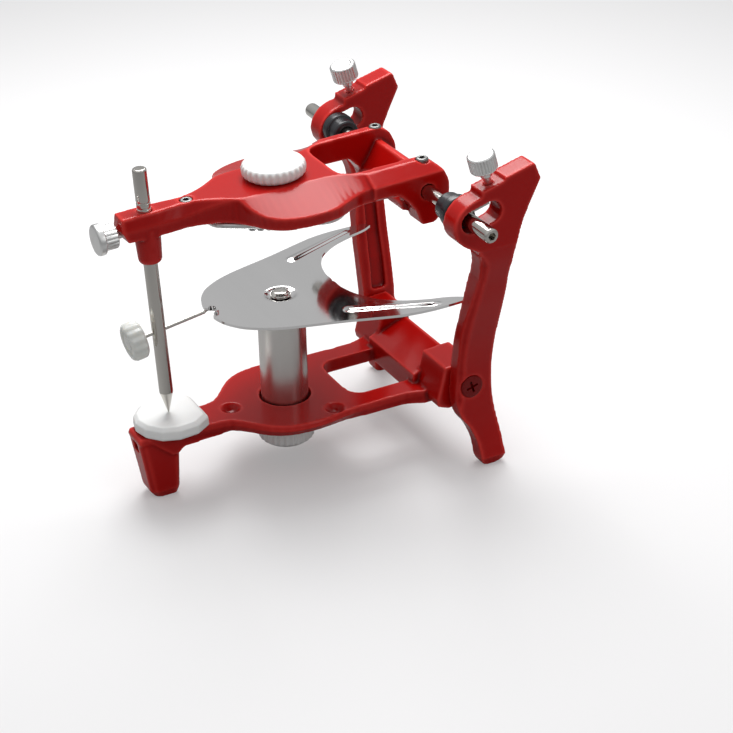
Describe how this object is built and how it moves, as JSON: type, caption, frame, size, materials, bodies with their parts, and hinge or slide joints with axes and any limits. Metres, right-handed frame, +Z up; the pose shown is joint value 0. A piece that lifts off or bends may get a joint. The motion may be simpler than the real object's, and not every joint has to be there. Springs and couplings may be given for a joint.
{
  "type": "dental articulator",
  "caption": "Dental articulator: red cast lower and upper frames hinged on sliding condylar shafts, with incisal pin, pointer and occlusal table.",
  "frame": {"origin": "on the ground under the middle of the whole articulator's bounding box", "axes": "+Z up; +Y from the incisal pin at the front to the hinge at the rear; +X along the hinge axis to the articulator's right-hand post as seen from behind the pin looking rearwards"},
  "size_m": [0.153, 0.1627, 0.1475],
  "materials": {
    "red_enamel": "gloss",
    "nickel_steel": "polished",
    "brushed_column": "brushed",
    "bright_aluminium": "satin",
    "cast_zinc": "cast",
    "black_ring": "satin",
    "black_steel": "blackened",
    "white_plastic": "satin",
    "milky_plastic": "satin"
  },
  "bodies": {
    "base": {"lower_frame": "red_enamel", "side_post_right": "red_enamel", "side_post_left": "red_enamel", "post_screw_right": "red_enamel", "post_screw_left": "red_enamel", "slot_strip_right": "nickel_steel", "slot_strip_left": "nickel_steel", "support_column": "brushed_column", "occlusal_table": "nickel_steel", "table_screw": "nickel_steel", "incisal_table": "white_plastic"},
    "condyles": {"condylar_ring_right": "black_ring", "condylar_ring_left": "black_ring"},
    "upper_member": {"upper_frame": "red_enamel", "condylar_shaft_right": "nickel_steel", "condylar_shaft_left": "nickel_steel", "set_screw_front": "black_steel", "set_screw_right": "black_steel", "set_screw_left": "black_steel", "upper_mounting_plate": "cast_zinc"},
    "pin": {"incisal_pin": "nickel_steel"},
    "pointer": {"pointer_needle": "nickel_steel", "pointer_knob": "milky_plastic"},
    "pin_screw": {"pin_thumb_screw": "bright_aluminium"},
    "top_knob": {"mounting_knob": "white_plastic", "mounting_stud": "nickel_steel"},
    "bottom_knob": {"column_knob": "white_plastic", "column_stud": "nickel_steel"},
    "thumb_screw_right": {"head_thumb_screw_right": "bright_aluminium"},
    "thumb_screw_left": {"head_thumb_screw_left": "bright_aluminium"}
  },
  "joints": [
    {"name": "condylar_slide", "type": "slide", "parent": "base", "child": "condyles", "axis": [0, 0.9627, 0.2706], "range_m": [0, 0.009]},
    {"name": "hinge", "type": "hinge", "parent": "condyles", "child": "upper_member", "pos_m": [0, 0.05029, 0.1203], "axis": [-1, 0, 0], "range_deg": [0, 100]},
    {"name": "pin_slide", "type": "slide", "parent": "upper_member", "child": "pin", "axis": [0, -0.0412, 0.9992], "range_m": [0, 0.02]},
    {"name": "pointer_slide", "type": "slide", "parent": "pin", "child": "pointer", "axis": [0, -0.9869, -0.1616], "range_m": [0, 0.015]},
    {"name": "pin_screw_turn", "type": "hinge", "parent": "upper_member", "child": "pin_screw", "pos_m": [0, -0.07478, 0.11935], "axis": [0, -0.9992, -0.0412], "continuous": true},
    {"name": "top_knob_turn", "type": "hinge", "parent": "upper_member", "child": "top_knob", "pos_m": [0, -0.00436, 0.13006], "axis": [0, -0.0412, 0.9992], "continuous": true},
    {"name": "bottom_knob_turn", "type": "hinge", "parent": "base", "child": "bottom_knob", "pos_m": [0, -0.00391, 0.01], "axis": [0, 0, 1], "continuous": true},
    {"name": "thumb_screw_right_turn", "type": "hinge", "parent": "base", "child": "thumb_screw_right", "pos_m": [0.05725, 0.05828, 0.13917], "axis": [0, -0.2706, 0.9627], "continuous": true},
    {"name": "thumb_screw_left_turn", "type": "hinge", "parent": "base", "child": "thumb_screw_left", "pos_m": [-0.05725, 0.05828, 0.13917], "axis": [0, -0.2706, 0.9627], "continuous": true}
  ]
}
